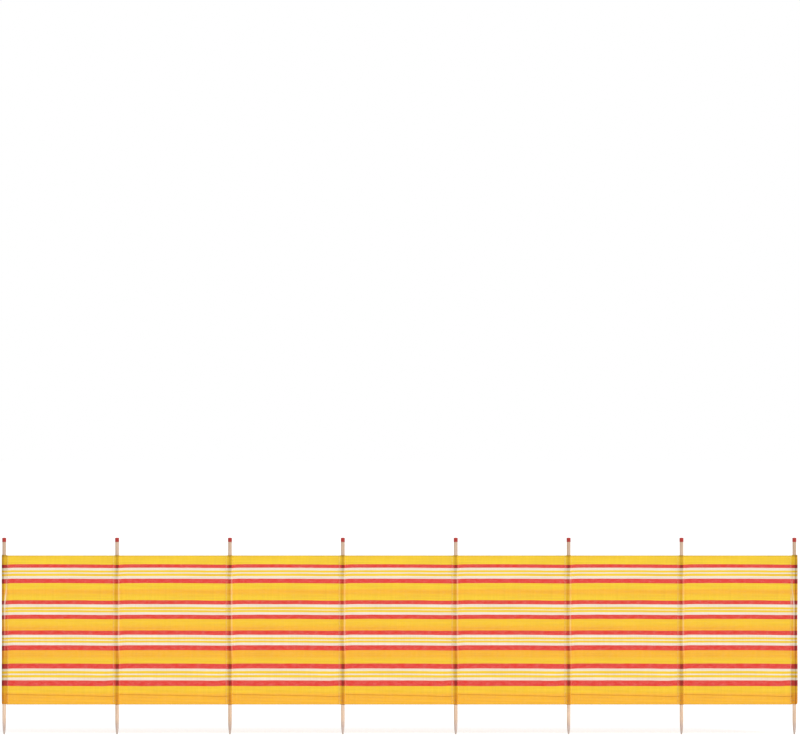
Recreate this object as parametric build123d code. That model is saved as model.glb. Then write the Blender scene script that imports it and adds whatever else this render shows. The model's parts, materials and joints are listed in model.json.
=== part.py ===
from build123d import *
import os

# Beach windbreak: one striped cloth held up by pointed wooden poles, each in a sewn pocket.
# The origin is the flat end of the first pole's point, +X runs along the cloth to the last
# pole, +Y is the far side and +Z runs up the poles. All sizes are in millimetres.

# Bays, from one pole's axis to the next
bay_count = 7
bay_pitch = 660.0

# Poles: round softwood with a long rounded point that ends in a small flat
pole_radius = 11.0
point_length = 85.0
point_flat_radius = 4.5
point_edge_bevel = 0.8

# Caps: moulded plastic cups pressed over the tops of the poles
cap_height = 25.0
cap_wall = 1.0
cap_crown = 2.0
cap_edge_bevel = 1.0
cap_fit = 0.1

# Cloth between the poles, and the wood left bare below it and above it, up to the cap
cloth_height = 868.0
cloth_thickness = 1.0
bare_wood_below = 178.0
bare_wood_above = 74.0

# Pockets: the cloth goes round the pole and is sewn to itself in a flat seam beside it
pocket_ease = 0.4
pocket_rise = 5.0
seam_width = 12.0

# Gap that lets a bay swing round the pocket that it hangs from
fold_clearance = 0.3

# Sizes that follow from the ones above
cap_bore_radius = pole_radius + cap_fit
cap_radius = cap_bore_radius + cap_wall
pocket_bore_radius = pole_radius + pocket_ease
pocket_radius = pocket_bore_radius + cloth_thickness
pocket_height = cloth_height + pocket_rise
cap_base = bare_wood_below + pocket_height + bare_wood_above
pole_length = cap_base + cap_height - cap_crown
seam_reach = pocket_radius + seam_width
seam_thickness = 2 * cloth_thickness

on_base = (Align.CENTER, Align.CENTER, Align.MIN)


def make_pole():
    """A round pole turned from an outline whose point runs smoothly into the shaft."""
    with BuildPart() as pole:
        with BuildSketch(Plane.XZ):
            with BuildLine():
                flat_end = Line((0, 0), (point_flat_radius, 0))
                shaft = Line((pole_radius, point_length), (pole_radius, pole_length))
                TangentArc(shaft @ 0, flat_end @ 1, tangent=(0, -1))
                top = Line(shaft @ 1, (0, pole_length))
                Line(top @ 1, flat_end @ 0)
            make_face()
        revolve(axis=Axis.Z)
        chamfer(pole.edges().group_by(Axis.Z)[0], point_edge_bevel)
    return pole.part


def make_cap():
    """A cup that sits on the pole's top, open downwards, with its upper edge bevelled."""
    cup = Cylinder(cap_radius, cap_height, align=on_base)
    cup = chamfer(cup.edges().group_by(Axis.Z)[-1], cap_edge_bevel)
    return cup - Cylinder(cap_bore_radius, cap_height - cap_crown, align=on_base)


def make_pocket(seam_side):
    """A cloth tube with its flat seam on one side: seam_side is 1 for +X and -1 for -X."""
    seam = Pos(seam_side * seam_reach / 2, 0) * Rectangle(seam_reach, seam_thickness)
    section = Circle(pocket_radius) + seam - Circle(pocket_bore_radius)
    return extrude(section, amount=pocket_height)


def make_panel(start, end):
    """The flat cloth of one bay, between two places along X."""
    panel = Box(end - start, cloth_thickness, cloth_height, align=on_base)
    return Pos((start + end) / 2, 0, 0) * panel


def make_windbreak():
    """Every piece by name, each where it is with the cloth pulled out straight."""
    pieces = {}
    for number in range(1, bay_count + 2):
        pole_x = (number - 1) * bay_pitch
        seam_side = 1 if number == 1 else -1
        pieces[f"pole_{number}"] = Pos(pole_x, 0, 0) * make_pole()
        pieces[f"cap_{number}"] = Pos(pole_x, 0, cap_base) * make_cap()
        pieces[f"pocket_{number}"] = Pos(pole_x, 0, bare_wood_below) * make_pocket(seam_side)
    for number in range(1, bay_count + 1):
        left_pole_x = (number - 1) * bay_pitch
        left_reach = seam_reach if number == 1 else pocket_radius + fold_clearance
        start = left_pole_x + left_reach
        end = left_pole_x + bay_pitch - seam_reach
        pieces[f"panel_{number}"] = Pos(0, 0, bare_wood_below) * make_panel(start, end)
    return pieces


os.makedirs("parts", exist_ok=True)
for node, shape in make_windbreak().items():
    export_step(shape, f"parts/{node}.step")
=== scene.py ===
import functools
import json
import math

import bmesh
import bpy
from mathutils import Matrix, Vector, noise


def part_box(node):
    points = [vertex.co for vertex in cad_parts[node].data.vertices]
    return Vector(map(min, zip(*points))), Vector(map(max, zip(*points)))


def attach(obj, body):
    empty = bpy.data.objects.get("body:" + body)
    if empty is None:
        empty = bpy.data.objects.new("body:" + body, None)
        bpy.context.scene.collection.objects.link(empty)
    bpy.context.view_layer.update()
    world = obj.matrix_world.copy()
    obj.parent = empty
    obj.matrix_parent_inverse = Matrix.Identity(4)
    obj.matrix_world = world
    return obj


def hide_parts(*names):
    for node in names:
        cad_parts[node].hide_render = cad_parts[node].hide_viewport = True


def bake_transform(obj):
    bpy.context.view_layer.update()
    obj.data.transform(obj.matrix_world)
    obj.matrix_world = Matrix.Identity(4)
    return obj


bl_info = {
    "name": "Beach Windbreak",
    "version": (1, 0, 0),
    "blender": (4, 5, 0),
    "location": "3D View > Sidebar > Windbreak",
    "description": "Wooden poles, plastic caps and striped woven cloth for a folding beach windbreak",
    "category": "Object",
}

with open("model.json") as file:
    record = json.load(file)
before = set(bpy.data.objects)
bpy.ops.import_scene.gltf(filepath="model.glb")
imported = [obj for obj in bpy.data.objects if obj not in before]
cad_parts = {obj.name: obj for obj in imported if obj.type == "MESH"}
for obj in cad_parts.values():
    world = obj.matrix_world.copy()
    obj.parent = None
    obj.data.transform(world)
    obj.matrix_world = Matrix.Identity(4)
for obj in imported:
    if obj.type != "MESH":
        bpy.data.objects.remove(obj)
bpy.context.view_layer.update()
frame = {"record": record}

MM = 0.001
BODY_NODES = frame["record"]["behaviour"]["bodies"]
NODE_BODY = {node: body for body, nodes in BODY_NODES.items() for node in nodes}
POLE_NUMBERS = range(1, 1 + sum(node.startswith("pole_") for node in NODE_BODY))
BAY_NUMBERS = range(1, 1 + sum(node.startswith("panel_") for node in NODE_BODY))
LAST_POLE = POLE_NUMBERS[-1]


def middle_of(node):
    """The middle of a node's box, in the row frame."""
    low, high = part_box(node)
    return (low + high) / 2


POLE_X = {number: middle_of(f"pole_{number}").x for number in POLE_NUMBERS}
BAY_PITCH = POLE_X[2] - POLE_X[1]
pole_low, pole_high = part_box("pole_1")
POLE_RADIUS = (pole_high.x - pole_low.x) / 2
POLE_LENGTH = pole_high.z
cap_low, cap_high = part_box("cap_1")
CAP_RADIUS = (cap_high.x - cap_low.x) / 2
CAP_BASE, CAP_TOP = cap_low.z, cap_high.z
panel_low, panel_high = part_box("panel_1")
CLOTH_BASE = panel_low.z
CLOTH_HEIGHT = panel_high.z - CLOTH_BASE
SEAM_REACH = POLE_X[2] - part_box("pocket_2")[0].x

# The cloth's own coordinates: across the bay from its left pole, and up from the lower edge, in metres
CLOTH_MAP = "cloth"
# Painted shade: how much a face's colour is darkened where wood close behind the thin cloth stops the light,
# and where a second layer lies over it
SHADE = "shade"
# Painted highlight: how far the film is whitened along a fold, where its gloss would catch the light
PAINTED_HIGHLIGHT = "bleach"

# The groups of stripes from the lower edge up, all of the same yarns. Each has the width in millimetres
# of the plain cloth below it and then of its stripes.
STRIPE_YARNS = ("red", "white", "yellow", "white", "yellow", "white", "red")
STRIPE_GROUPS = (
    (103.9, 33.6, 16.5, 14.5, 8.5, 14.5, 14.8, 29.6),
    (77.5, 29.1, 16, 11.5, 7, 11.5, 15.3, 25.7),
    (66.9, 24.8, 14.9, 12, 5, 12.5, 16.9, 23.4),
    (99.6, 26.6, 15.9, 13, 8, 12, 14.5, 20.6),
)
# Plain cloth has no colour of its own in a ramp
NO_STRIPE = (0, 0, 0, 0)
# How far a group's colour ramp goes on past its stripes
GROUP_MARGIN = 3 * MM

# How orange the plain cloth is, from 0 for yellow to 1, by millimetres below the top edge
ORANGE_SHARE = (
    (0, 0.15), (20, 0.0), (50, 0.0), (160, 0.1), (190, 0.05), (203, 1.0), (218, 1.0), (232, 0.4),
    (255, 0.05), (375, 0.3), (400, 0.35), (420, 0.95), (430, 1.0), (560, 1.0), (590, 0.95), (612, 0.2),
    (630, 0.35), (768, 0.2), (798, 0.35), (812, 1.0), (868, 1.1),
)

# The crease near the lower edge: its height at the two ends of a bay, its width, and how far it is
# pressed in. It is flattened out near the poles, and so is its line of painted shade. Levels, here and
# below, are the range of a pattern that shows, and then what the two ends of that range give.
CREASE_LEFT = 56.5 * MM
CREASE_RIGHT = 45.0 * MM
CREASE_WIDTH = 4.0 * MM
CREASE_DEPTH = 1.2 * MM
CREASE_FLAT = (8 * MM, 16 * MM)
# How dark the line of painted shade along the crease is, across its width
CREASE_SHADE_LEVELS = (CREASE_WIDTH, 0.0, 0.0, 0.9)

# The cloth is a little longer at the foot than its stripes are
CLOTH_DROP = 4.0 * MM

# The most that a loose weft moves a stripe's edge, both ways together, and the lengths of its waves
# along the bay and up it. A UV map has no third axis, so the third size only fills a place.
EDGE_WANDER = 3 * MM
WANDER_SIZES = (110 * MM, 33 * MM, 1)
# Streaks of uneven dye, fine and wide along the wefts and fine up the warps, and the tint of the darkest
STREAK_LEVELS = (0.35, 0.75)
STREAKS = (
    ((330 * MM, 2.4 * MM, 1), "F6EDE2"),
    ((450 * MM, 13 * MM, 1), "F7F1E5"),
    ((3.8 * MM, 250 * MM, 1), "F8F6F1"),
)
# The milky warp shows more on the red than on pale yarns, and more in some patches than in others
WARP_LEVELS = (0.05, 0.6, 0.20, 0.055)
WARP_PATCHES = (33 * MM, 17 * MM, 1)
WARP_PATCH_LEVELS = (0.3, 0.7, 0.45, 1.45)
# Tapes stand up in the middle, and the dark gaps between them show through
TAPE_CROWN = 0.12 * MM
TAPE_BUMP = 0.5
GAP_LEVELS = (0.45, 0.0, 0.0, 0.45)
# Roughness goes up and down in worn patches
WORN_PATCHES = (80 * MM, 25 * MM, 1)
WORN_LEVELS = (0.0, 1.0, 0.34, 0.52)
# Over wood the dye is deeper, and its painted shade is darker on the red than on pale yarns
DYE_DEPTH = 0.45
DYE_SHADE_LEVELS = (0.05, 0.5, 1.5, 0.8)
# The width of the darker band along the two outer edges, and what darkens the cloth there and in other
# places
EDGE_BAND = 5 * MM
EDGE_TINT = "E5E7E7"
GAP_TINT = "E7E2D4"
# Tint of the painted shade along the crease
CREASE_SHADE_TINT = "D4BC6C"
# Tints of the painted shade over wood, and of the darker painted shade past full
OVER_WOOD_SHADE_TINT = "D6DBD6"
DEEPER_SHADE_TINT = "BCB3A8"

# Sizes of the wood's grain and of its paler and darker boards, across and up the pole
GRAIN_SIZES = (3 * MM, 3 * MM, 87 * MM)
GRAIN_LEVELS = (0.42, 0.78)
GRAIN_DEPTH = 0.2 * MM
GRAIN_BUMP = 0.4
WOOD_ROUGHNESS = (0.0, 1.0, 0.5, 0.75)
BOARD_SIZES = (71 * MM, 71 * MM, 286 * MM)
BOARD_LEVELS = (0.4, 0.7, 0.0, 0.6)
BOARD_TINT = "EFE7DD"
# Heights between which the wood turns darker above the cloth, and sand has greyed it, and what each does.
# These changes go this far up and down along the grain.
DARKER_ABOVE_CLOTH = (CLOTH_BASE + CLOTH_HEIGHT - 30 * MM, CLOTH_BASE + CLOTH_HEIGHT + 20 * MM, "E7E5E3")
SANDED = (110 * MM, 60 * MM, "E7ECFD")
SOIL_LEVELS = (45 * MM, 14 * MM, 0.0, 0.5)
WEAR_WANDER = 30 * MM

# Scuffs of the caps: their size, how far they show, how much paler they are and how rough
SCUFF_SIZE = 1.4 * MM
SCUFF_LEVELS = (0.58, 0.8, 0.0, 0.35)
SCUFF_PALER = (0.75, 0.12)
SCUFF_ROUGHNESS = (0.0, 1.0, 0.18, 0.42)
SCUFF_DEPTH = 0.05 * MM
SCUFF_BUMP = 0.15

# Thread's twist, and how much darker its dull side is
TWIST_SIZE = 1.1 * MM
TWIST_DULL = 0.8

# Specks of rust on the tacks
RUST_SIZE = 0.7 * MM
RUST_LEVELS = (0.55, 0.75)
STEEL = "8E8984"
RUST = "7A4A30"


def srgb(code):
    """A linear colour, with its alpha, from an sRGB hex code."""
    parts = [int(code[i:i + 2], 16) / 255 for i in (0, 2, 4)]
    return [p / 12.92 if p <= 0.04045 else ((p + 0.055) / 1.055) ** 2.4 for p in parts] + [1.0]


def colour_property(name, description, code):
    """A colour that a user can change, with its default as a hex code."""
    return bpy.props.FloatVectorProperty(name=name, description=description, subtype="COLOR", size=4,
                                         min=0, max=1, default=srgb(code))


def length_property(name, description, metres):
    """A length that a user can change."""
    return bpy.props.FloatProperty(name=name, description=description, default=metres, min=0,
                                   unit="LENGTH", precision=4)


def light_property(name, description, strength):
    """The strength of a light that a user can change."""
    return bpy.props.FloatProperty(name=name, description=description, default=strength, min=0)


class PoleSettings(bpy.types.PropertyGroup):
    """Wood of the poles and plastic of their caps."""

    wood: colour_property("Wood", "Pale planed softwood", "EDD3BD")
    grain: colour_property("Grain", "Darker late wood in the grain", "C9A482")
    soil: colour_property("Soil", "Dirt left on the point by sand", "B4A99F")
    plastic: colour_property("Cap", "Dyed plastic of the caps", "AE3028")
    point_length: length_property("Point", "Length of the tapered point", 85 * MM)
    flat_radius: length_property("Point flat", "Radius of the blunt end", 4.5 * MM)
    bevel: length_property("Point bevel", "Worn edge round the blunt end", 0.8 * MM)
    cap_round: length_property("Cap edge", "Radius of the cap's upper edge", 3.2 * MM)
    cap_wall: length_property("Cap wall", "Thickness of the cap's side", 1.0 * MM)


class ClothSettings(bpy.types.PropertyGroup):
    """Yarns and hang of the striped cloth."""

    yellow: colour_property("Yellow", "Yellow of the plain cloth", "FDD92B")
    orange: colour_property("Orange", "Orange of the plain cloth", "FFC124")
    red: colour_property("Red", "Red stripes", "E82A18")
    white: colour_property("White", "White stripes", "FAF1E7")
    thread: colour_property("Thread", "Sewing thread", "F3ECDD")
    tape_width: length_property("Tape", "Width of one woven tape", 2.5 * MM)
    thickness: length_property("Thickness", "Thickness of the cloth", 0.5 * MM)
    ripple: length_property("Ripple", "Depth of the soft waves in each bay", 3.0 * MM)
    stitch_pitch: length_property("Stitch pitch", "Distance from one stitch to the next", 4.0 * MM)


class StageSettings(bpy.types.PropertyGroup):
    """Camera and light."""

    lens: bpy.props.FloatProperty(name="Lens", description="Long lens for a straight view", default=400,
                                  unit="CAMERA")
    sky: light_property("Sky", "Strength of the soft light all round", 0.70)
    sun: light_property("Sun", "Strength of the soft light from the front", 1.25)
    side: light_property("Side light", "Strength of the low light from the right", 0.3)


def set_inputs(node, values):
    """Sets a node's inputs, each to a value or to the socket that feeds it.

    values lists them in the inputs' order, or is a dictionary by name or number.
    """
    if not isinstance(values, dict):
        values = dict(enumerate(values))
    for key, value in values.items():
        if isinstance(value, bpy.types.NodeSocket):
            node.id_data.links.new(value, node.inputs[key])
        else:
            node.inputs[key].default_value = value


def add_node(tree, kind, values=(), output=0, **settings):
    """Adds a node with its inputs and settings. Returns one of its outputs, or the node if it has none.

    kind is the node's type, which may leave out the words ShaderNode. A Mix node's inputs are 0 for the
    factor, 2 and 3 for its values and 6 and 7 for its colours. A MapRange node's are the value, the range
    that it reads and the two ends of what it gives.
    """
    node = tree.nodes.new(kind if "Node" in kind else f"ShaderNode{kind}")
    for name, value in settings.items():
        setattr(node, name, value)
    set_inputs(node, values)
    return node.outputs[output] if node.outputs else node


# Settings of a Mix node that blends one colour into another, and of one that darkens it by a tint
MIXED = {"output": 2, "data_type": "RGBA"}
TINTED = {**MIXED, "blend_type": "MULTIPLY"}


def new_material(name, values):
    """A material whose Principled shader has these inputs. Returns it, what adds a node, and the shader."""
    material = bpy.data.materials.new(name)
    material.use_nodes = True
    shader = material.node_tree.nodes["Principled BSDF"]
    set_inputs(shader, values)
    return material, functools.partial(add_node, material.node_tree), shader


def material_once(name, make, *arguments):
    """The material of that name, made the first time that it is asked for."""
    return bpy.data.materials.get(name) or make(*arguments)


def stretched_noise(add, place, sizes, levels=None, detail=2.0, roughness=0.5):
    """Noise whose patches are this many metres long on each axis, and a MapRange node if it has levels."""
    stretched = add("Mapping", {"Vector": place, "Scale": [1 / size for size in sizes]})
    patches = add("TexNoise", {"Vector": stretched, "Scale": 1.0, "Detail": detail,
                               "Roughness": roughness})
    return add("MapRange", [patches, *levels]) if levels else patches


def fill_ramp(node, stops, interpolation):
    """Gives a colour ramp its stops, each a position and a colour with alpha."""
    ramp = node.color_ramp
    ramp.interpolation = interpolation
    while len(ramp.elements) > 1:
        ramp.elements.remove(ramp.elements[-1])
    ramp.elements[0].position, ramp.elements[0].color = stops[0]
    for position, colour in stops[1:]:
        ramp.elements.new(position).color = colour


def stripe_groups(cloth):
    """Each group of stripes: its lower end, its upper end and the ramp stops between them.

    The ends lie a little way out on the plain cloth.
    """
    colours = [NO_STRIPE, *(getattr(cloth, yarn) for yarn in STRIPE_YARNS), NO_STRIPE]
    up = 0
    for plain, *widths in STRIPE_GROUPS:
        up += plain * MM
        low = up - GROUP_MARGIN
        edges = [low]
        for width in widths:
            edges.append(up)
            up += width * MM
        edges.append(up)
        high = up + GROUP_MARGIN
        yield low, high, [((edge - low) / (high - low), colour) for edge, colour in zip(edges, colours)]


def woven_polyethylene(cloth):
    """Cloth woven from flat polyethylene tapes: dyed wefts make the stripes, and clear warps cross them.

    The eye gets a slight gloss, fine streaks along the stripes and a speckle where a warp lies on top.
    """
    material, add, shader = new_material("woven polyethylene", {"IOR": 1.5, "Specular IOR Level": 0.3})
    place = add("UVMap", uv_map=CLOTH_MAP)

    # Wefts lie a little unevenly, so the stripes' edges wander by about a millimetre
    wander = stretched_noise(add, place, WANDER_SIZES)
    across_bay, up = add("SeparateXYZ", [place]).node.outputs[:2]
    up = add("Math", [wander, EDGE_WANDER, up], operation="MULTIPLY_ADD")
    up = add("Math", [up, EDGE_WANDER / 2], operation="SUBTRACT")
    level = add("Math", [up, CLOTH_HEIGHT], operation="DIVIDE")

    tones = add("ValToRGB", [level])
    height_mm = CLOTH_HEIGHT / MM
    shares = [(1 - down / height_mm, (share, share, share, 1)) for down, share in reversed(ORANGE_SHARE)]
    fill_ramp(tones.node, shares, "LINEAR")
    colour = add("Mix", {0: tones, 6: cloth.yellow, 7: cloth.orange}, **MIXED)

    # A ramp is drawn in 256 steps, so each group of stripes has its own, which keeps their edges exact
    for low, high, stops in stripe_groups(cloth):
        ramp = add("ValToRGB", [add("MapRange", [up, low, high])]).node
        fill_ramp(ramp, stops, "CONSTANT")
        colour = add("Mix", {0: ramp.outputs[1], 6: colour, 7: ramp.outputs[0]}, **MIXED)

    # Tapes differ a little in their dye
    for sizes, tint in STREAKS:
        streak = stretched_noise(add, place, sizes, STREAK_LEVELS, detail=1.0)
        colour = add("Mix", {0: streak, 6: colour, 7: srgb(tint)}, **TINTED)

    # Each tape is slightly crowned, across the warp or the weft, whichever is on top
    per_tape = 1 / cloth.tape_width
    crossing = add("Mapping", {"Vector": place, "Scale": (per_tape, per_tape, 1)})
    warp_on_top = add("TexChecker", {"Vector": crossing, "Scale": 1.0}, "Fac")
    crowns = []
    for axis in add("SeparateXYZ", [crossing]).node.outputs[:2]:
        across = add("Math", [axis], operation="FRACT")
        turned = add("Math", [across, math.pi], operation="MULTIPLY")
        crowns.append(add("Math", [turned], operation="SINE"))
    relief = add("Mix", {0: warp_on_top, 2: crowns[1], 3: crowns[0]})

    # Plain weave: at every other crossing the milky warp is on top, which shows most on the red
    green = add("SeparateColor", [colour], "Green")
    shows = add("MapRange", [green, *WARP_LEVELS])
    uneven = stretched_noise(add, place, WARP_PATCHES, WARP_PATCH_LEVELS)
    speck = add("Math", crowns, operation="MULTIPLY")
    speck = add("Math", [speck], operation="SQRT")
    for factor in (warp_on_top, shows, uneven):
        speck = add("Math", [speck, factor], operation="MULTIPLY")
    colour = add("Mix", {0: speck, 6: colour, 7: cloth.white}, **MIXED)
    gap = add("MapRange", [relief, *GAP_LEVELS])
    colour = add("Mix", {0: gap, 6: colour, 7: srgb(GAP_TINT)}, **TINTED)

    # The crease, where the folded cloth was pressed: a line of painted shade that slants down each bay
    along = add("Math", [across_bay, BAY_PITCH], operation="DIVIDE")
    along = add("Math", [along], operation="FRACT")
    crease_at = add("MapRange", {0: along, 3: CREASE_LEFT, 4: CREASE_RIGHT})
    away = add("Math", [up, crease_at], operation="SUBTRACT")
    away = add("Math", [away], operation="ABSOLUTE")
    pressed = add("MapRange", [away, *CREASE_SHADE_LEVELS])
    from_pole = add("Math", [across_bay, BAY_PITCH / 2], operation="PINGPONG")
    clear = add("MapRange", [from_pole, *CREASE_FLAT])
    pressed = add("Math", [pressed, clear], operation="MULTIPLY")
    colour = add("Mix", {0: pressed, 6: colour, 7: srgb(CREASE_SHADE_TINT)}, **TINTED)

    # The last few millimetres at the two outer edges are darker
    for edge in (-CLOTH_DROP, CLOTH_HEIGHT):
        cut = add("Math", [up, edge, EDGE_BAND], operation="COMPARE")
        colour = add("Mix", {0: cut, 6: colour, 7: srgb(EDGE_TINT)}, **TINTED)

    # Over wood or a second layer the colour is painted deeper, as light that goes through the dye again
    # would make it
    shade = add("Attribute", output="Fac", attribute_name=SHADE)
    depth = add("Math", [shade, DYE_DEPTH, 1.0], operation="MULTIPLY_ADD")
    colour = add("Gamma", [colour, depth])
    # Painted shade where the wood behind stops the light, darker on deep dyes than on pale ones, and darker
    # still where it runs past full
    deeper = add("MapRange", [green, *DYE_SHADE_LEVELS])
    shade = add("Math", [shade, deeper], operation="MULTIPLY")
    colour = add("Mix", {0: shade, 6: colour, 7: srgb(OVER_WOOD_SHADE_TINT)}, **TINTED)
    more = add("Math", [shade, 1.0], operation="SUBTRACT")
    colour = add("Mix", {0: more, 6: colour, 7: srgb(DEEPER_SHADE_TINT)}, **TINTED)
    # Painted highlight along the folds, which whitens the colour
    bleach = add("Attribute", output="Fac", attribute_name=PAINTED_HIGHLIGHT)
    colour = add("Mix", {0: bleach, 6: colour, 7: cloth.white}, **MIXED)

    bump = add("Bump", {"Strength": TAPE_BUMP, "Distance": TAPE_CROWN, "Height": relief})
    rough = stretched_noise(add, place, WORN_PATCHES, WORN_LEVELS, detail=3.0)
    set_inputs(shader, {"Base Color": colour, "Normal": bump, "Roughness": rough})
    return material


def turned_softwood(poles):
    """Softwood dowel, planed round and shaved to a point: long pale grain, dirt at the tip."""
    material, add, shader = new_material("turned softwood", {"IOR": 1.45, "Specular IOR Level": 0.3})
    place = add("TexCoord", output="Object")
    grain = stretched_noise(add, place, GRAIN_SIZES, detail=4.0, roughness=0.6)
    late_wood = add("MapRange", [grain, *GRAIN_LEVELS])
    colour = add("Mix", {0: late_wood, 6: poles.wood, 7: poles.grain}, **MIXED)
    tone = stretched_noise(add, place, BOARD_SIZES, BOARD_LEVELS)
    colour = add("Mix", {0: tone, 6: colour, 7: srgb(BOARD_TINT)}, **TINTED)

    # The wood is darker above the cloth, and sand has greyed the point, both changing along the grain
    up = add("SeparateXYZ", [place], "Z")
    up = add("Math", [grain, WEAR_WANDER, up], operation="MULTIPLY_ADD")
    for start, end, tint in (DARKER_ABOVE_CLOTH, SANDED):
        share = add("MapRange", [up, start, end])
        colour = add("Mix", {0: share, 6: colour, 7: srgb(tint)}, **TINTED)

    # The last centimetres keep a little dirt
    soil = add("MapRange", [up, *SOIL_LEVELS])
    colour = add("Mix", {0: soil, 6: colour, 7: poles.soil}, **MIXED)

    rough = add("MapRange", [grain, *WOOD_ROUGHNESS])
    bump = add("Bump", {"Strength": GRAIN_BUMP, "Distance": GRAIN_DEPTH, "Height": grain})
    set_inputs(shader, {"Base Color": colour, "Normal": bump, "Roughness": rough})
    return material


def moulded_plastic(poles):
    """Dyed soft plastic from a mould: smooth gloss with faint scuffs from being knocked in."""
    material, add, shader = new_material("moulded plastic", {"IOR": 1.5, "Specular IOR Level": 0.35})
    place = add("TexCoord", output="Object")
    scuff = stretched_noise(add, place, [SCUFF_SIZE] * 3, detail=5.0, roughness=0.65)
    worn = add("MapRange", [scuff, *SCUFF_LEVELS])
    share, added = SCUFF_PALER
    pale = [share * part + added for part in poles.plastic[:3]]
    colour = add("Mix", {0: worn, 6: poles.plastic, 7: (*pale, 1)}, **MIXED)
    rough = add("MapRange", [scuff, *SCUFF_ROUGHNESS])
    bump = add("Bump", {"Strength": SCUFF_BUMP, "Distance": SCUFF_DEPTH, "Height": scuff})
    set_inputs(shader, {"Base Color": colour, "Normal": bump, "Roughness": rough})
    return material


def polyester_thread(cloth):
    """Spun thread: matt, with a twist too fine to see, so only its tone wanders."""
    material, add, shader = new_material("polyester thread", {"Roughness": 0.7, "Sheen Weight": 0.2})
    twist = stretched_noise(add, add("TexCoord", output="Object"), [TWIST_SIZE] * 3)
    dull = [TWIST_DULL * part for part in cloth.thread[:3]]
    colour = add("Mix", {0: twist, 6: cloth.thread, 7: (*dull, 1)}, **MIXED)
    set_inputs(shader, {"Base Color": colour})
    return material


def blued_steel():
    """Small tack of blued steel: dark, with a dull shine and specks of rust."""
    material, add, shader = new_material("blued steel", {"Metallic": 1.0, "Roughness": 0.45})
    rust = stretched_noise(add, add("TexCoord", output="Object"), [RUST_SIZE] * 3, RUST_LEVELS, detail=3.0)
    colour = add("Mix", {0: rust, 6: srgb(STEEL), 7: srgb(RUST)}, **MIXED)
    set_inputs(shader, {"Base Color": colour})
    return material


def add_object(name, data):
    """An object in the scene with this data."""
    made = bpy.data.objects.new(name, data)
    bpy.context.scene.collection.objects.link(made)
    return made


def link_mesh(name, mesh, material):
    """Puts a finished mesh in the scene as a smooth-shaded object with one material."""
    mesh.materials.clear()
    mesh.materials.append(material)
    mesh.polygons.foreach_set("use_smooth", [True] * len(mesh.polygons))
    return add_object(name, mesh)


def stand_for(piece, node):
    """Makes a piece move with a node's body and show in the node's place."""
    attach(piece, NODE_BODY[node])
    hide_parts(node)


def turned_mesh(name, outline, segments, centre):
    """A closed mesh turned round a vertical axis through centre.

    outline holds (radius, height) points from the axis round to the axis again.
    """
    shape = bmesh.new()
    rings = []
    for radius, height in outline:
        if radius == 0:
            rings.append([shape.verts.new((centre.x, centre.y, centre.z + height))])
            continue
        ring = []
        for step in range(segments):
            angle = 2 * math.pi * step / segments
            ring.append(shape.verts.new((centre.x + radius * math.cos(angle),
                                         centre.y + radius * math.sin(angle), centre.z + height)))
        rings.append(ring)
    for one, two in zip(rings, rings[1:]):
        for step in range(segments):
            after = (step + 1) % segments
            corners = (one[step % len(one)], one[after % len(one)],
                       two[after % len(two)], two[step % len(two)])
            # Next to the axis two corners are the same point, which leaves a triangle
            shape.faces.new(dict.fromkeys(corners))
    bmesh.ops.recalc_face_normals(shape, faces=shape.faces)
    mesh = bpy.data.meshes.new(name)
    shape.to_mesh(mesh)
    shape.free()
    return mesh


def finished_mesh(piece):
    """The mesh that an object's modifiers make, with the modifiers taken off the object."""
    graph = bpy.context.evaluated_depsgraph_get()
    mesh = bpy.data.meshes.new_from_object(piece.evaluated_get(graph))
    piece.modifiers.clear()
    return mesh


# The kind of a tree's input, by its default
SOCKET_KINDS = {float: "NodeSocketFloat", int: "NodeSocketInt", bpy.types.Material: "NodeSocketMaterial"}


def new_tree(name, inputs):
    """A Geometry Nodes tree with named inputs, given with their defaults.

    Returns it, what adds a node to it, its input sockets and its output node.
    """
    tree = bpy.data.node_groups.new(name, "GeometryNodeTree")
    tree.interface.new_socket("Geometry", in_out="INPUT", socket_type="NodeSocketGeometry")
    for label, default in inputs.items():
        kind = SOCKET_KINDS[type(default)]
        tree.interface.new_socket(label, in_out="INPUT", socket_type=kind).default_value = default
    tree.interface.new_socket("Geometry", in_out="OUTPUT", socket_type="NodeSocketGeometry")
    add = functools.partial(add_node, tree)
    return tree, add, add("NodeGroupInput").node.outputs, add("NodeGroupOutput")


def run_tree(mesh, tree, **values):
    """The plain mesh that a tree makes from a mesh. values are for the inputs that leave their default."""
    source = add_object(tree.name, mesh)
    modifier = source.modifiers.new(tree.name, "NODES")
    modifier.node_group = tree
    for item in tree.interface.items_tree:
        if item.in_out == "INPUT" and item.name in values:
            modifier[item.identifier] = values[item.name]
    made = finished_mesh(source)
    bpy.data.objects.remove(source)
    return made


# How finely a pole's point, its shaft and its round are divided
POINT_RINGS = 26
SHAFT_RINGS = 6
ROUND_SEGMENTS = 48


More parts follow.
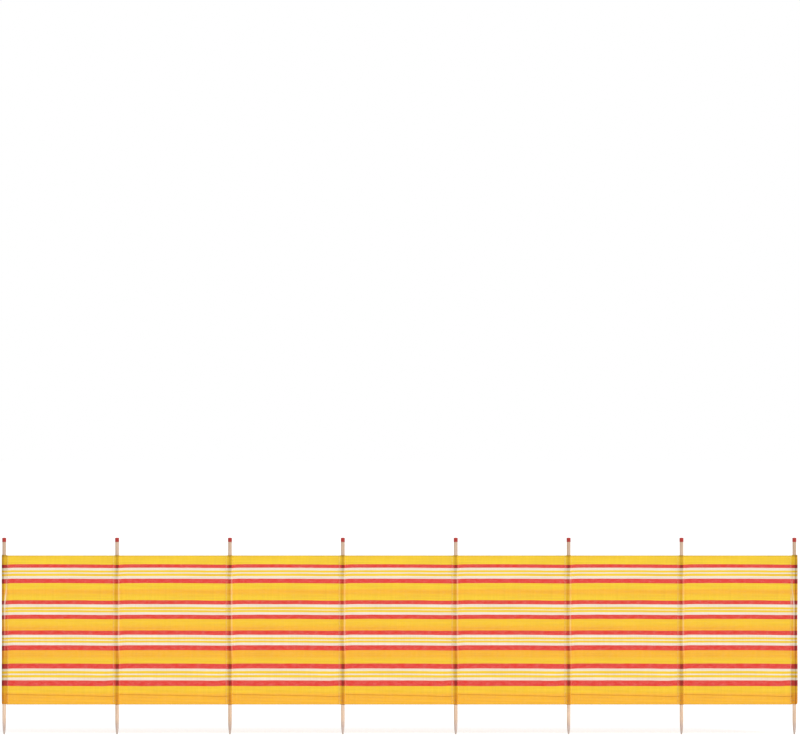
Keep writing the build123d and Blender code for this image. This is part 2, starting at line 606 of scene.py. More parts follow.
def pole_tree(poles, wood):
    """A round pole: rings from the blunt end up the point, whose curved side meets the shaft smoothly."""
    tree, add, given, result = new_tree("turned pole", {
        "Length": POLE_LENGTH, "Radius": POLE_RADIUS, "Point Length": poles.point_length,
        "Flat Radius": poles.flat_radius, "Bevel": poles.bevel, "Material": wood,
    })

    line = add("GeometryNodeMeshLine", {"Count": POINT_RINGS + SHAFT_RINGS})
    index = add("GeometryNodeInputIndex")
    # Ring 0 is the flat, ring 1 the top of the bevel, and the rest share out the point and then the shaft
    above_flat = add("Math", [index, 1.0], operation="MINIMUM")
    in_point = add("MapRange", [index, 1.0, POINT_RINGS, given["Bevel"], given["Point Length"]])
    shaft_length = add("Math", [given["Length"], given["Point Length"]], operation="SUBTRACT")
    in_shaft = add("MapRange", [index, POINT_RINGS, POINT_RINGS + SHAFT_RINGS - 1, 0.0, shaft_length])
    height = add("Math", [in_point, above_flat, in_shaft], operation="MULTIPLY_ADD")
    place = add("CombineXYZ", {"Z": height})
    line = add("GeometryNodeSetPosition", {"Geometry": line, "Position": place})

    # The side narrows with the square of the way to the tip, so it leaves the shaft smoothly
    to_tip = add("MapRange", [height, 0.0, given["Point Length"], 1.0, 0.0])
    squared = add("Math", [to_tip, to_tip], operation="MULTIPLY")
    inwards = add("Math", [given["Flat Radius"], given["Radius"]], operation="SUBTRACT")
    side = add("Math", [squared, inwards, given["Radius"]], operation="MULTIPLY_ADD")
    cut_back = add("MapRange", [above_flat, 0.0, 1.0, given["Bevel"], 0.0])
    radius = add("Math", [side, cut_back], operation="SUBTRACT")

    curve = add("GeometryNodeMeshToCurve", {"Mesh": line})
    circle = add("GeometryNodeCurvePrimitiveCircle", {"Resolution": ROUND_SEGMENTS, "Radius": 1.0})
    mesh = add("GeometryNodeCurveToMesh", {"Curve": curve, "Profile Curve": circle, "Scale": radius,
                                           "Fill Caps": True})
    mesh = add("GeometryNodeRealizeInstances", [mesh])
    mesh = add("GeometryNodeSetMaterial", {"Geometry": mesh, "Material": given["Material"]})
    set_inputs(result, [mesh])
    return tree


class WINDBREAK_OT_poles(bpy.types.Operator):
    """Add the pointed wooden poles"""

    bl_idname = "windbreak.poles"
    bl_label = "Poles"

    def execute(self, context):
        poles = context.scene.windbreak_poles
        wood = material_once("turned softwood", turned_softwood, poles)
        tree = pole_tree(poles, wood)
        for number in POLE_NUMBERS:
            mesh = run_tree(bpy.data.meshes.new("pole source"), tree)
            for vertex in mesh.vertices:
                vertex.co.x += POLE_X[number]
            stand_for(link_mesh(f"wood_pole_{number}", mesh, wood), f"pole_{number}")
        return {"FINISHED"}


# The cap's lip and the rise of its crown, and how its section is divided
CAP_LIP = 0.3 * MM
CAP_LIP_CUT = 0.2 * MM
CAP_DOME = 0.7 * MM
INNER_RING = 0.6
QUARTERS = (0.25, 0.5, 0.75)
ROUND_STEPS = 8


def cap_outline(poles):
    """Half of the cap's section: up the bore, out to the lip, up the side and over the rounded crown."""
    height = CAP_TOP - CAP_BASE
    bore = CAP_RADIUS - poles.cap_wall
    crown = POLE_LENGTH - CAP_BASE
    outline = [(0, crown), (bore * INNER_RING, crown), (bore, crown), (bore, CAP_LIP),
               (bore + CAP_LIP_CUT, 0), (CAP_RADIUS - CAP_LIP_CUT, 0), (CAP_RADIUS, CAP_LIP)]
    outline += [(CAP_RADIUS, share * height) for share in QUARTERS]
    rounding = poles.cap_round
    flat = CAP_RADIUS - rounding
    for step in range(ROUND_STEPS + 1):
        angle = math.pi / 2 * step / ROUND_STEPS
        outline.append((flat + rounding * math.cos(angle),
                        height - CAP_DOME - rounding + rounding * math.sin(angle)))
    outline += [(flat * share, height - CAP_DOME * share ** 2) for share in reversed(QUARTERS)]
    return outline + [(0, height)]


class WINDBREAK_OT_caps(bpy.types.Operator):
    """Add the rounded plastic caps"""

    bl_idname = "windbreak.caps"
    bl_label = "Caps"

    def execute(self, context):
        poles = context.scene.windbreak_poles
        plastic = material_once("moulded plastic", moulded_plastic, poles)
        for number in POLE_NUMBERS:
            base = Vector((POLE_X[number], 0, CAP_BASE))
            mesh = turned_mesh(f"cap_{number}", cap_outline(poles), ROUND_SEGMENTS, base)
            stand_for(link_mesh(f"plastic_cap_{number}", mesh, plastic), f"cap_{number}")
        return {"FINISHED"}


# A pocket holds its pole loosely, and its two layers are sewn together beside the pole
POCKET_RADIUS = POLE_RADIUS + 1.2 * MM
LAYER_GAP = 0.9 * MM
WIDE_SEAM = 18.0 * MM
NARROW_SEAM = 14.6 * MM
NARROW_REACH = 17.0 * MM
ARC_STEPS = 24
# A wide seam has two rows of stitches, this far apart
ROW_SPACING = 3.8 * MM
# Rows of a pocket's mesh from its foot up: fine ones near the tack, then even ones
FINE_ROWS = 12
FINE_ROW = 3.5 * MM
EVEN_ROWS = 96
# How far a pocket's mouths stand above the edges of the cloth beside it
HEAD_RISE = 1.0 * MM
END_HEAD_RISE = 3.0 * MM
END_FOOT_RISE = 3.2 * MM
CORNER_RISE = 0.8 * MM
# Where the cloth leaves the pole's front, an end pocket's outer corner and the hems. Such pairs, here and
# below, are where a change starts and its width, or the middle of a line and its width.
OVER_POLE = (8 * MM, 13 * MM)
OUTER_CORNER = (7 * MM, 6 * MM)
HEM_SPAN = (15 * MM, 4 * MM)
# A mouth is drawn in by its hem and holds the cloth about this far, the upper one by half as much
MOUTH_DRAW = 0.5 * MM
FOOT_HOLD = 6 * MM
HEAD_HOLD = 5 * MM
HEAD_SHARE = 0.5
# Slack in the cloth stands off as soft folds: their depth, how many a metre in width, depth and height,
# how much of the pocket they take, and where they start off the seam
SLACK_DEPTH = 2.8 * MM
SLACK_FOLDS = (130, 90, 5)
SLACK_SHARE = 0.15
OFF_SEAM = (LAYER_GAP, 4 * MM)
# How far the slack outer side of an end pocket stands off, by pole, where that starts, and its swell
OUTER_SLACK = {1: 2.6 * MM, LAST_POLE: 6.6 * MM}
OUTER_SIDE = (2 * MM, 10 * MM)
SWELL = 0.12
SWELL_TURNS = 11
# How much of the folds a mouth and a corner take away, and of the outer side a mouth
HELD_BY_MOUTH = 0.8
HELD_BY_CORNER = 0.7
OUTER_HELD = 0.15
# A tack near the foot pins the pocket to its pole: its place across the front and up the cloth, and
# the width and depth of the dimple round it
TACK_ACROSS = -6.6 * MM
TACK_UP = 20.0 * MM
DIMPLE_WIDTH = 7 * MM
DIMPLE_DEPTH = 0.75 * MM
# The outer edge of a seam waves in and out, and drifts from side to side: how far, and waves a metre
HEM_WAVE = 0.3 * MM
HEM_WAVES = (40, 20)
HEM_DRIFT = 0.7 * MM
HEM_DRIFTS = 14
# Places in the noise, which these steps take from one piece to the next, so that no two are alike
FOLD_SEEDS = (9, 3.1)
HEM_SEED = 6.1
DRIFT_SEED = 2.3
RIGHT_HEM_SEED = 5.0
LINE_SEED = 4.4

# The stripes hang lower beside a bay's left pole and towards its right one, but the lowest ones are
# drawn up beside both
STRIPES_DOWN = 2.0 * MM
BESIDE_LEFT = (0, 55 * MM)
TO_THE_RIGHT = (380 * MM, 240 * MM)
STRIPES_UP = 3.2 * MM
LOWEST_STRIPES = (110 * MM, 55 * MM)
BESIDE_SEAM = (0, 40 * MM)

# Where a pocket looks different, below the top edge: its middle, where it is slack, and its low end
MIDDLE_FROM = (60 * MM, 90 * MM)
MIDDLE_TO = (480 * MM, 150 * MM)
LOW_FROM = (600 * MM, 80 * MM)
# An inner pocket: its band of painted shade over the wood, which is narrower and weaker in the middle, and
# the painted highlight line beside the pole, with its waves a metre
BAND_FROM = (-12.5 * MM, 10 * MM)
BAND_TO = 5.5 * MM
BAND_NARROWER = 2 * MM
BAND_FADE = 6.5 * MM
BAND_DEPTH = (1.12, 0.45)
LINE_AT = (9 * MM, 3.2 * MM)
LINE_STRENGTH = 0.26
LINE_VARIES = (0.8, 0.5)
LINE_WAVES = 6
# The first pocket: its painted shade over the wood, and less of it over the seam beside it, where the cloth
# is double
FIRST_WOOD = 0.95
FIRST_SEAM = (14 * MM, 4 * MM)
FIRST_SEAM_LESS = 0.45
FIRST_SEAM_END = (21 * MM, 4 * MM)
# The last pocket: its painted shade over the wood, which is wider low down, and a second painted highlight
# spot
LAST_WOOD = (0.55, 0.2)
LAST_WOOD_FROM = (14 * MM, 8 * MM)
LAST_WOOD_FADE = 5 * MM
SPOT_LEVEL = (262 * MM, 28 * MM)
SPOT_AT = (-17 * MM, 4 * MM)
SPOT_STRENGTH = 0.35
# Both: the line of painted shade along the wood's far side, and the slack fold beyond it, which gets less of
# it
FAR_SIDE = (-4 * MM, 9 * MM)
FAR_SIDE_DEPTH = (1.65, 0.25)
SLACK_FOLD = (7 * MM, 3.5 * MM)
FOLD_LIGHTER = {-1: (0.3, 0.6), 1: (0.3, 0.8)}
# Both: how much less painted shade the wood gives in the middle, and the painted highlight line of a fold,
# which crosses the pole on its way down
END_WOOD_LESS = 0.5
FOLD_AT = (12 * MM, 9 * MM)
FOLD_CROSSES = (180 * MM, 120 * MM)
FOLD_LEVEL = (265 * MM, 80 * MM)
FOLD_STRENGTH = (0.5, 0.12)
FOLD_WIDTH = 3.5 * MM


def smooth(share):
    """0 to 1 with level ends."""
    share = min(max(share, 0), 1)
    return share * share * (3 - 2 * share)


def rise(value, start, width):
    """0 up to start, then smoothly up to 1 over width."""
    return smooth((value - start) / width)


def hump(value, centre, width):
    """1 at the centre, falling away smoothly on both sides."""
    return math.exp(-((value - centre) / width) ** 2)


def pocket_sides(number):
    """(seam, reach) on the left and right of a pole. None is a side where the cloth only goes round it."""
    left = None if number == 1 else (WIDE_SEAM, SEAM_REACH)
    right = (WIDE_SEAM, SEAM_REACH) if number == 1 else (NARROW_SEAM, NARROW_REACH)
    if number == LAST_POLE:
        right = None
    return left, right


def half_section(left, right):
    """The front layer's (x, depth) points about the pole's axis, from left to right."""
    angles = []
    points = {-1: [], 1: []}
    for side, seam_and_reach in ((-1, left), (1, right)):
        if seam_and_reach is None:
            angles.append(math.pi if side == -1 else 0)
            continue
        seam, reach = seam_and_reach
        touch = math.acos(POCKET_RADIUS / math.hypot(seam, LAYER_GAP)) + math.atan2(LAYER_GAP, seam)
        angles.append(math.pi - touch if side == -1 else touch)
        touch_x, touch_y = POCKET_RADIUS * math.cos(touch), POCKET_RADIUS * math.sin(touch)
        points[side] = [(side * reach, LAYER_GAP), (side * (seam + reach) / 2, LAYER_GAP)]
        for share in (0.0, *QUARTERS):
            points[side].append((side * (seam + (touch_x - seam) * share),
                                 LAYER_GAP + (touch_y - LAYER_GAP) * share))
    arc = []
    for step in range(ARC_STEPS + 1):
        angle = angles[0] + (angles[1] - angles[0]) * step / ARC_STEPS
        arc.append((POCKET_RADIUS * math.cos(angle), POCKET_RADIUS * math.sin(angle)))
    return points[-1] + arc + points[1][::-1]


def stripe_fall(along, up):
    """How far the stripes hang below their level, this far along from a bay's left pole and up the cloth."""
    beside_left = 1 - rise(along, *BESIDE_LEFT)
    to_seam = max(0, BAY_PITCH - SEAM_REACH - along)
    down = STRIPES_DOWN * max(beside_left, rise(along, *TO_THE_RIGHT))
    drawn_up = STRIPES_UP * hump(up, *LOWEST_STRIPES)
    return down - drawn_up * max(beside_left, hump(to_seam, *BESIDE_SEAM))


def cloth_mesh(name, rows, closed):
    """A cloth surface from rows of (place, map, painted shade, painted highlight). closed joins a row's end
    to its start.
    """
    width = len(rows[0])
    flat = [point for row in rows for point in row]
    faces = []
    for below in range(0, len(flat) - width, width):
        above = below + width
        for step in range(width if closed else width - 1):
            after = (step + 1) % width
            faces.append((below + step, below + after, above + after, above + step))
    mesh = bpy.data.meshes.new(name)
    mesh.from_pydata([point[0] for point in flat], [], faces)
    layer = mesh.uv_layers.new(name=CLOTH_MAP)
    layer.uv.foreach_set("vector", [part for loop in mesh.loops for part in flat[loop.vertex_index][1]])
    for attribute, part in ((SHADE, 2), (PAINTED_HIGHLIGHT, 3)):
        values = mesh.attributes.new(attribute, "FLOAT", "POINT")
        values.data.foreach_set("value", [point[part] for point in flat])
    return mesh


def make_cloth(name, mesh, cloth):
    """A piece of woven cloth from its surface, thick evenly on both sides."""
    weave = material_once("woven polyethylene", woven_polyethylene, cloth)
    piece = link_mesh(name, mesh, weave)
    solid = piece.modifiers.new("thickness", "SOLIDIFY")
    solid.thickness = cloth.thickness
    solid.offset = 0
    piece.data = finished_mesh(piece)
    return piece


class WINDBREAK_OT_pockets(bpy.types.Operator):
    """Add the sewn pockets that the poles stand in"""

    bl_idname = "windbreak.pockets"
    bl_label = "Pockets"

    def execute(self, context):
        for number in POLE_NUMBERS:
            front = half_section(*pocket_sides(number))
            around = 2 * sum(math.dist(a, b) for a, b in zip(front, front[1:]))
            piece = make_cloth(f"cloth_pocket_{number}", self.pocket(number),
                               context.scene.windbreak_cloth)
            stand_for(piece, f"pocket_{number}")
        return {"FINISHED"}

    def pocket(self, number):
        """The pocket's surface, with upright folds where it is slack."""
        left, right = pocket_sides(number)
        front = [(x, -depth) for x, depth in half_section(left, right)]
        back = [(x, -y) for x, y in front]
        # Where the cloth only goes round the pole, the front and the back share a point
        if right is None:
            back = back[:-1]
        if left is None:
            back = back[1:]
        outer = {1: -1, LAST_POLE: 1}.get(number, 0)
        fine = [step * FINE_ROW / CLOTH_HEIGHT for step in range(FINE_ROWS)]
        even = [fine[-1] + (1 - fine[-1]) * step / EVEN_ROWS for step in range(1, EVEN_ROWS + 1)]
        rows = []
        for share in fine + even:
            points = []
            for x, y in front + back[::-1]:
                over_pole = 1 - rise(abs(x), *OVER_POLE)
                corner = rise(outer * x, *OUTER_CORNER)
                foot = -CLOTH_DROP + (END_FOOT_RISE if outer else 0) * over_pole + CORNER_RISE * corner
                head = CLOTH_HEIGHT + (END_HEAD_RISE if outer else HEAD_RISE) * over_pole
                up = foot + (head - foot) * share
                mouth = math.exp((foot - up) / FOOT_HOLD) + HEAD_SHARE * math.exp((up - head) / HEAD_HOLD)
                place = self.slackened(number, outer, x, y, up, mouth, corner)
                shade, bleach = self.tone(number, outer, x, CLOTH_HEIGHT - up)
                level = up + stripe_fall(x if x > 0 else BAY_PITCH + x, up)
                points.append((place, (x, level), shade, bleach))
            rows.append(points)
        return cloth_mesh(f"pocket_{number}", rows, closed=True)

    def slackened(self, number, outer, x, y, up, mouth, corner):
        """Where a point of the section goes when the cloth is slack. mouth and corner hold it back there."""
        folds = noise.noise((x * SLACK_FOLDS[0] + FOLD_SEEDS[0] * number, y * SLACK_FOLDS[1],
                             up * SLACK_FOLDS[2] + FOLD_SEEDS[1] * number))
        slack = max(0.0, folds + SLACK_SHARE) * SLACK_DEPTH * rise(abs(y), *OFF_SEAM)
        loose = OUTER_SLACK.get(number, 0) * rise(outer * x, *OUTER_SIDE)
        loose *= 1 + SWELL * math.sin(up * SWELL_TURNS)
        spread = slack * (1 - HELD_BY_MOUTH * mouth) * (1 - HELD_BY_CORNER * corner)
        spread += loose * (1 - OUTER_HELD * mouth)
        to_tack = math.hypot(x - TACK_ACROSS, up - TACK_UP)
        pinned = hump(to_tack, 0, DIMPLE_WIDTH) if y < 0 else 0.0
        drawn_in = MOUTH_DRAW * mouth + DIMPLE_DEPTH * pinned
        grow = 1 + (spread * (1 - pinned) - drawn_in) / math.hypot(x, y)
        hem = rise(abs(x), *HEM_SPAN)
        in_out = noise.noise((up * HEM_WAVES[0], HEM_SEED * number, x * HEM_WAVES[1]))
        sideways = noise.noise((up * HEM_DRIFTS, DRIFT_SEED * number, RIGHT_HEM_SEED if x > 0 else 0.0))
        return (POLE_X[number] + x * grow + HEM_DRIFT * hem * sideways,
                y * grow + HEM_WAVE * hem * in_out, CLOTH_BASE + up)

    def tone(self, number, outer, x, below_top):
        """How much painted shade the wood behind the cloth gives, and how much painted highlight whitens a
        fold.
        """
        middle = rise(below_top, *MIDDLE_FROM) * (1 - rise(below_top, *MIDDLE_TO))
        if outer:
            return self.end_tone(outer, x, below_top, middle)
        shade = rise(x, *BAND_FROM) * (1 - rise(x, BAND_TO - BAND_NARROWER * middle, BAND_FADE))
        wander = noise.noise(((CLOTH_HEIGHT - below_top) * LINE_WAVES, LINE_SEED * number, 0))
        varied = LINE_VARIES[0] + LINE_VARIES[1] * wander
        return (shade * (BAND_DEPTH[0] - BAND_DEPTH[1] * middle),
                LINE_STRENGTH * middle * varied * hump(x, *LINE_AT))

    def end_tone(self, outer, x, below_top, middle):
        """The same two for an end pocket, which is slack beyond its pole. outer is -1 or 1 for its side."""
        low = rise(below_top, *LOW_FROM)
        if outer < 0:
            wood = FIRST_WOOD * (1 - FIRST_SEAM_LESS * rise(x, *FIRST_SEAM)) * (1 - rise(x, *FIRST_SEAM_END))
            far_side = FAR_SIDE_DEPTH[0] - FAR_SIDE_DEPTH[1] * low
            slack = middle
            spot = 0
        else:
            wood_from = -LAST_WOOD_FROM[0] - LAST_WOOD_FROM[1] * low
            wood = (LAST_WOOD[0] + LAST_WOOD[1] * low) * rise(x, wood_from, LAST_WOOD_FADE)
            far_side = FAR_SIDE_DEPTH[0]
            slack = rise(below_top, *MIDDLE_FROM)
            spot = SPOT_STRENGTH * hump(below_top, *SPOT_LEVEL) * hump(x, *SPOT_AT)
        lighter = FOLD_LIGHTER[outer][0] + FOLD_LIGHTER[outer][1] * slack
        line = far_side * rise(outer * x, *FAR_SIDE) - lighter * rise(outer * x, *SLACK_FOLD)
        fold_at = -outer * (FOLD_AT[0] - FOLD_AT[1] * rise(below_top, *FOLD_CROSSES))
        strength = FOLD_STRENGTH[0] * hump(below_top, *FOLD_LEVEL) + FOLD_STRENGTH[1] * middle
        return (max(wood * (1 - END_WOOD_LESS * middle), line),
                max(strength * hump(x, fold_at, FOLD_WIDTH), spot))


# A bay's cloth goes this far under the seams beside it
TUCK = 2.5 * MM
# A bay's mesh is divided finest over this width beside its left pocket
BEND_WIDTH = 48.0 * MM
# Steps of a bay's mesh: short beside the left pocket, longer beside the right pocket and longest in the open
BEND_STEP = 2 * MM
EDGE_STEP = 4 * MM
OPEN_STEP = 9 * MM
EDGE_WIDTH = 45 * MM
# Rows beside the crease, in millimetres from its middle, and near the cloth's edges
CREASE_ROWS = (-9, -6, -4, -2.5, -1.2, 0, 1.2, 2.5, 4, 6, 9)
FOOT_ROWS = (-CLOTH_DROP, -CLOTH_DROP + 2 * MM, 3 * MM, 12 * MM, 22 * MM, 32 * MM)
HEAD_ROWS = (5 * MM, 2 * MM, 0)
# Soft waves and short pleats: how many a metre along the bay and up it, and their depth by the ripple's
LONG_WAVES = (8, 2.5, 1.0)
SHORT_WAVES = (17, 5, 0.5)
PLEATS = (70, 4, 0.5)
LONG_SEED = 5.3
SHORT_SEED = 8.8
PLEAT_SEED = 2.7
# How far in from a pocket each starts: the pleats with how fast they fade, the crease and the waves
PLEATS_FROM = (0, 8 * MM)
PLEATS_FADE = 30 * MM
CREASE_FROM = (0, 20 * MM)
WAVES_FROM = (0, 70 * MM)
# The rows of the mesh that slant with the crease
SLANTED = (50 * MM, 25 * MM)


def wave(x, up, kind, seed):
    """How far one kind of wave stands out at a place on a bay."""
    along, upwards, depth = kind
    return depth * noise.noise((x * along, up * upwards, seed))


def bay_columns(start, end):
    """Places along a bay, close together near the pockets and most of all beside the left one."""
    places = [start]
    while places[-1] < end:
        if places[-1] - start < BEND_WIDTH:
            step = BEND_STEP
        else:
            step = EDGE_STEP if end - places[-1] < EDGE_WIDTH else OPEN_STEP
        places.append(places[-1] + step)
    spread = (end - start) / (places[-1] - start)
    return [start + (place - start) * spread for place in places]


def bay_rows():
    """Heights above the cloth's lower edge, close together where the crease is and at the edges."""
    middle = (CREASE_LEFT + CREASE_RIGHT) / 2
    heights = [*FOOT_ROWS, *(middle + offset * MM for offset in CREASE_ROWS)]
    while heights[-1] < CLOTH_HEIGHT - HEAD_ROWS[0] - OPEN_STEP:
        heights.append(heights[-1] + OPEN_STEP)
    return heights + [CLOTH_HEIGHT - below for below in HEAD_ROWS]


class WINDBREAK_OT_panels(bpy.types.Operator):
    """Add the striped cloth of each bay"""

    bl_idname = "windbreak.panels"
    bl_label = "Bays of cloth"

    def execute(self, context):
        cloth = context.scene.windbreak_cloth
        for number in BAY_NUMBERS:
            seam_end = POLE_X[number] + pocket_sides(number)[1][1]
            start = seam_end - TUCK
            end = POLE_X[number + 1] - SEAM_REACH + TUCK
            piece = make_cloth(f"cloth_panel_{number}", self.panel(number, start, end, cloth.ripple), cloth)
            own = NODE_BODY[f"panel_{number}"]
            before = NODE_BODY[f"pole_{number}"]
            if before == own:
                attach(piece, own)
            else:
                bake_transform(piece)
            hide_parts(f"panel_{number}")
        return {"FINISHED"}

    def panel(self, number, start, end, ripple):
        """The bay's surface: soft waves between the pockets, short pleats beside them and the crease."""
        slope = CREASE_RIGHT - CREASE_LEFT
        rows = []
        for level in bay_rows():
            slant = slope * hump(level, *SLANTED)
            points = []
            for x in bay_columns(start, end):
                across = (x - start) / (end - start)
                up = level + (across - 0.5) * slant
                inset = min(x - start, end - x)
                waves = wave(x, up, LONG_WAVES, LONG_SEED * number) + wave(x, up, SHORT_WAVES, SHORT_SEED)
                pleats = wave(x, up, PLEATS, PLEAT_SEED * number)
                pleats *= math.exp(-inset / PLEATS_FADE) * rise(inset, *PLEATS_FROM)
                crease = CREASE_DEPTH * hump(up, CREASE_LEFT + slope * across, CREASE_WIDTH)
                depth = ripple * (waves * rise(inset, *WAVES_FROM) + pleats)
                depth -= crease * rise(inset, *CREASE_FROM)
                along_bay = x - POLE_X[number]
                level_on_cloth = up + stripe_fall(along_bay, up)
                points.append(((x, depth, CLOTH_BASE + up), (along_bay, level_on_cloth), 0, 0))
            rows.append(points)
        return cloth_mesh(f"panel_{number}", rows, closed=False)


# Stitches lie on both faces of a seam, just outside the line where its layers meet. They take this share
# of the pitch, times the shortest or the longest stretch.
STITCH_INSET = 0.9 * MM
STITCH_LIFT = 0.35 * MM
STITCH_THICKNESS = 0.8 * MM
STITCH_SHARE = 0.75
STITCH_STRETCH = (0.85, 1.1)
STITCHES_FROM = 5 * MM
STITCHES_TO = CLOTH_HEIGHT - 4 * MM


def stitch_tree(cloth, thread):
    """Short rounded stitches at an even pitch along the edges of the mesh that it is given."""
    tree, add, given, result = new_tree("stitches", {
        "Pitch": cloth.stitch_pitch, "Length": STITCH_SHARE * cloth.stitch_pitch,
        "Thickness": STITCH_THICKNESS, "Seed": 0, "Material": thread,
    })
    curve = add("GeometryNodeMeshToCurve", {"Mesh": given["Geometry"]})
    points = add("GeometryNodeResampleCurve", {"Curve": curve, "Length": given["Pitch"]}, mode="LENGTH")
    tangent = add("GeometryNodeInputTangent")
    along = add("FunctionNodeAlignRotationToVector", {"Vector": tangent}, axis="Z")
    # A ball of diameter 1, which its scale makes a stitch. A Random Value node's inputs 2 and 3 and output 1
    # are for single numbers.
    ball = add("GeometryNodeMeshIcoSphere", {"Radius": 0.5, "Subdivisions": 1})
    shortest, longest = STITCH_STRETCH
    stretch = add("FunctionNodeRandomValue", {2: shortest, 3: longest, "Seed": given["Seed"]}, 1,
                  data_type="FLOAT")
    length = add("Math", [given["Length"], stretch], operation="MULTIPLY")
    size = add("CombineXYZ", [given["Thickness"], given["Thickness"], length])
    mesh = add("GeometryNodeInstanceOnPoints", {"Points": points, "Instance": ball, "Rotation": along,
                                                "Scale": size})
    mesh = add("GeometryNodeRealizeInstances", [mesh])
    mesh = add("GeometryNodeSetMaterial", {"Geometry": mesh, "Material": given["Material"]})
    set_inputs(result, [mesh])
    return tree


class WINDBREAK_OT_stitches(bpy.types.Operator):
    """Add the stitches of the pockets' seams"""

    bl_idname = "windbreak.stitches"
    bl_label = "Stitches"

    def execute(self, context):
        cloth = context.scene.windbreak_cloth
        thread = material_once("polyester thread", polyester_thread, cloth)
        tree = stitch_tree(cloth, thread)
        for number in POLE_NUMBERS:
            mesh = run_tree(self.seam_lines(number), tree, Seed=number)
            piece = link_mesh(f"seam_stitches_{number}", mesh, thread)
            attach(piece, NODE_BODY[f"pocket_{number}"])
        return {"FINISHED"}

    def seam_lines(self, number):
        """Upright edges where the rows of stitches go."""
        places, edges = [], []
        for side, seam_and_reach in zip((-1, 1), pocket_sides(number)):
            if seam_and_reach is None:
                continue
            seams = [seam_and_reach[0] + STITCH_INSET]
            if seam_and_reach[0] == WIDE_SEAM:
                seams.append(seams[0] + ROW_SPACING)
            for seam in seams:
                for face in (-1, 1):
                    edges.append((len(places), len(places) + 1))
                    for height in (STITCHES_FROM, STITCHES_TO):
                        places.append((POLE_X[number] + side * seam, face * (LAYER_GAP + STITCH_LIFT),
                                       CLOTH_BASE + height))
        lines = bpy.data.meshes.new("seam lines")
        lines.from_pydata(places, edges, [])
        return lines


# A tack's head from its middle round to its middle again, as radius and height in millimetres, and
# how deep it sits in the cloth
TACK_HEAD = ((0, 0), (1.6, 0), (2.3, 0.1), (2.4, 0.35), (2.0, 0.75), (1.2, 1.05), (0, 1.15))
TACK_SEGMENTS = 16
TACK_SINK = 0.45 * MM


class WINDBREAK_OT_tacks(bpy.types.Operator):
    """Add the tack that holds each pocket to its pole"""

    bl_idname = "windbreak.tacks"
    bl_label = "Tacks"

    def execute(self, context):
        steel = material_once("blued steel", blued_steel)
        outline = [(radius * MM, height * MM) for radius, height in TACK_HEAD]
        seat = POCKET_RADIUS - TACK_SINK
        outward = Vector((TACK_ACROSS, -math.sqrt(seat ** 2 - TACK_ACROSS ** 2), 0)).normalized()
        for number in POLE_NUMBERS:
            mesh = turned_mesh(f"tack_{number}", outline, TACK_SEGMENTS, Vector((0, 0, 0)))
            place = Vector((0, 0, 1)).rotation_difference(outward).to_matrix().to_4x4()
            place.translation = Vector((POLE_X[number], 0, CLOTH_BASE + TACK_UP)) + outward * seat
            mesh.transform(place)
            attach(link_mesh(f"tack_{number}", mesh, steel), NODE_BODY[f"pocket_{number}"])
        return {"FINISHED"}


# Where the photograph has the first and the last pole's axis, and the end of the points, in pixels
PHOTO_WIDTH = 800
PHOTO_HEIGHT = 736
FIRST_POLE_COLUMN = 4.21
LAST_POLE_COLUMN = 794.36
POINT_ROW = 734.3

# The floor's reach, its own grey and the glow that lifts it to white in the camera
FLOOR_REACH = 150.0
FLOOR_GREY = "E7E7E7"
FLOOR_GLOW = 0.45
WHITE = (1, 1, 1, 1)
SUN_DIRECTION = (-0.35, 1.0, -0.85)
SIDE_DIRECTION = (-1.0, 0.15, -0.1)
LAMP_SPREAD = math.radians(25)
SENSOR_WIDTH = 36.0
CAMERA_REACH = 400.0


def seen_rays(tree):
    """A socket that is 1 for rays that see a surface, as camera, glossy and clear rays do, and else 0."""
    rays = add_node(tree, "LightPath").node.outputs
    seen = add_node(tree, "Math", [rays["Is Camera Ray"], rays["Is Glossy Ray"]], operation="MAXIMUM")
    return add_node(tree, "Math", [seen, rays["Is Transmission Ray"]], operation="MAXIMUM")


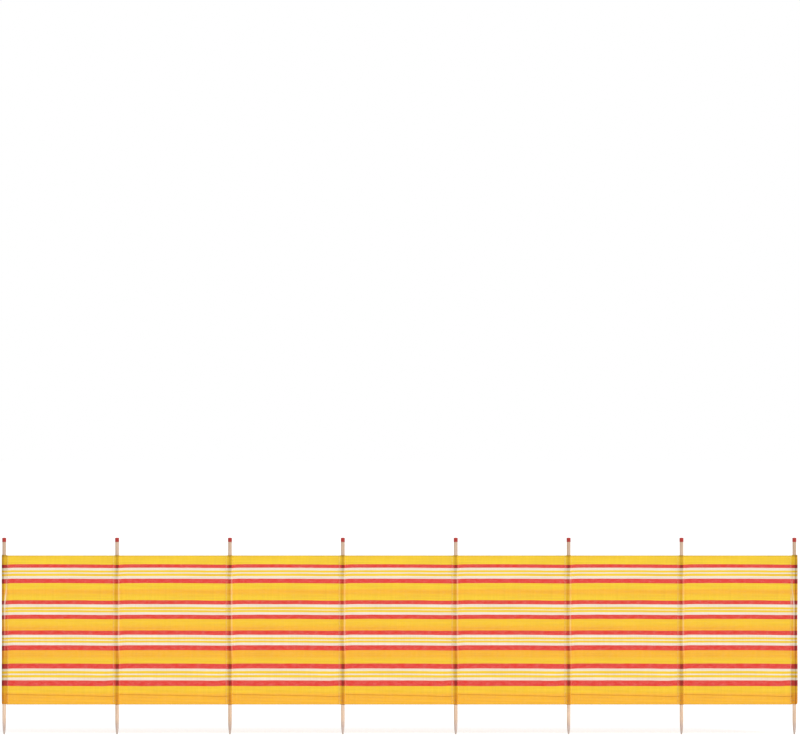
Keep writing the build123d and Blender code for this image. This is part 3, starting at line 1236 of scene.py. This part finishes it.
class WINDBREAK_OT_stage(bpy.types.Operator):
    """Add the floor, the light and the camera"""

    bl_idname = "windbreak.stage"
    bl_label = "Stage"

    def execute(self, context):
        stage = context.scene.windbreak_stage
        self.add_floor()
        self.add_light(context, stage)
        self.add_camera(context, stage)
        context.scene.view_settings.view_transform = "Standard"
        return {"FINISHED"}

    def add_floor(self):
        """A pale floor that is white to the camera but for the object's shadow."""
        material = bpy.data.materials.new("pale floor")
        material.use_nodes = True
        tree = material.node_tree
        tree.nodes.clear()
        lift = add_node(tree, "Math", [seen_rays(tree), FLOOR_GLOW], operation="MULTIPLY")
        glow = add_node(tree, "Emission", {"Color": WHITE, "Strength": lift})
        matt = add_node(tree, "BsdfDiffuse", {"Color": srgb(FLOOR_GREY)})
        add_node(tree, "OutputMaterial", {"Surface": add_node(tree, "AddShader", [glow, matt])})
        corners = [(x * FLOOR_REACH, y * FLOOR_REACH, 0) for x, y in ((-1, -1), (1, -1), (1, 1), (-1, 1))]
        mesh = bpy.data.meshes.new("floor")
        mesh.from_pydata(corners, [], [(0, 1, 2, 3)])
        link_mesh("floor", mesh, material)

    def add_light(self, context, stage):
        """A soft even sky, white to the camera, a wide sun from the front and a low one from the right."""
        world = bpy.data.worlds.new("sky")
        world.use_nodes = True
        tree = world.node_tree
        tree.nodes.clear()
        strength = add_node(tree, "MapRange", [seen_rays(tree), 0.0, 1.0, stage.sky, 1.0])
        sky = add_node(tree, "Background", {"Color": WHITE, "Strength": strength})
        add_node(tree, "OutputWorld", {"Surface": sky})
        context.scene.world = world
        for name, energy, direction in (("sun", stage.sun, SUN_DIRECTION),
                                        ("side light", stage.side, SIDE_DIRECTION)):
            lamp = bpy.data.lights.new(name, "SUN")
            lamp.energy = energy
            lamp.angle = LAMP_SPREAD
            turn = Vector(direction).to_track_quat("-Z", "Y").to_euler()
            add_object(name, lamp).rotation_euler = turn

    def add_camera(self, context, stage):
        """A level camera straight in front, at the photograph's scale and place."""
        span = POLE_X[LAST_POLE] - POLE_X[1]
        pixels_per_metre = (LAST_POLE_COLUMN - FIRST_POLE_COLUMN) / span
        data = bpy.data.cameras.new("camera")
        data.lens = stage.lens
        data.sensor_width = SENSOR_WIDTH
        data.clip_end = CAMERA_REACH
        camera = add_object("camera", data)
        distance = PHOTO_WIDTH / pixels_per_metre * data.lens / data.sensor_width
        camera.location = (POLE_X[1] + (PHOTO_WIDTH / 2 - FIRST_POLE_COLUMN) / pixels_per_metre, -distance,
                           (POINT_ROW - PHOTO_HEIGHT / 2) / pixels_per_metre)
        camera.rotation_euler = (math.pi / 2, 0, 0)
        context.scene.camera = camera


PIECE_OPERATORS = (WINDBREAK_OT_poles, WINDBREAK_OT_caps, WINDBREAK_OT_pockets, WINDBREAK_OT_panels,
                   WINDBREAK_OT_stitches, WINDBREAK_OT_tacks)
SETTINGS = {"windbreak_poles": PoleSettings, "windbreak_cloth": ClothSettings,
            "windbreak_stage": StageSettings}


class WINDBREAK_PT_sidebar(bpy.types.Panel):
    """Lists what makes the windbreak"""

    bl_idname = "WINDBREAK_PT_sidebar"
    bl_label = "Beach Windbreak"
    bl_space_type = "VIEW_3D"
    bl_region_type = "UI"
    bl_category = "Windbreak"

    def draw(self, context):
        for operator in (*PIECE_OPERATORS, WINDBREAK_OT_stage):
            self.layout.operator(operator.bl_idname)
        for place in SETTINGS:
            settings = getattr(context.scene, place)
            for name in settings.bl_rna.properties.keys():
                if name not in ("rna_type", "name"):
                    self.layout.prop(settings, name)


CLASSES = (*SETTINGS.values(), *PIECE_OPERATORS, WINDBREAK_OT_stage, WINDBREAK_PT_sidebar)


def register():
    for kind in CLASSES:
        bpy.utils.register_class(kind)
    for place, kind in SETTINGS.items():
        setattr(bpy.types.Scene, place, bpy.props.PointerProperty(type=kind))


def unregister():
    for place in SETTINGS:
        delattr(bpy.types.Scene, place)
    for kind in reversed(CLASSES):
        bpy.utils.unregister_class(kind)


def main():
    """Builds every piece and the stage."""
    register()
    bpy.ops.windbreak.poles()
    bpy.ops.windbreak.caps()
    bpy.ops.windbreak.pockets()
    bpy.ops.windbreak.panels()
    bpy.ops.windbreak.stitches()
    bpy.ops.windbreak.tacks()
    bpy.ops.windbreak.stage()


if __name__ == "__main__":
    main()
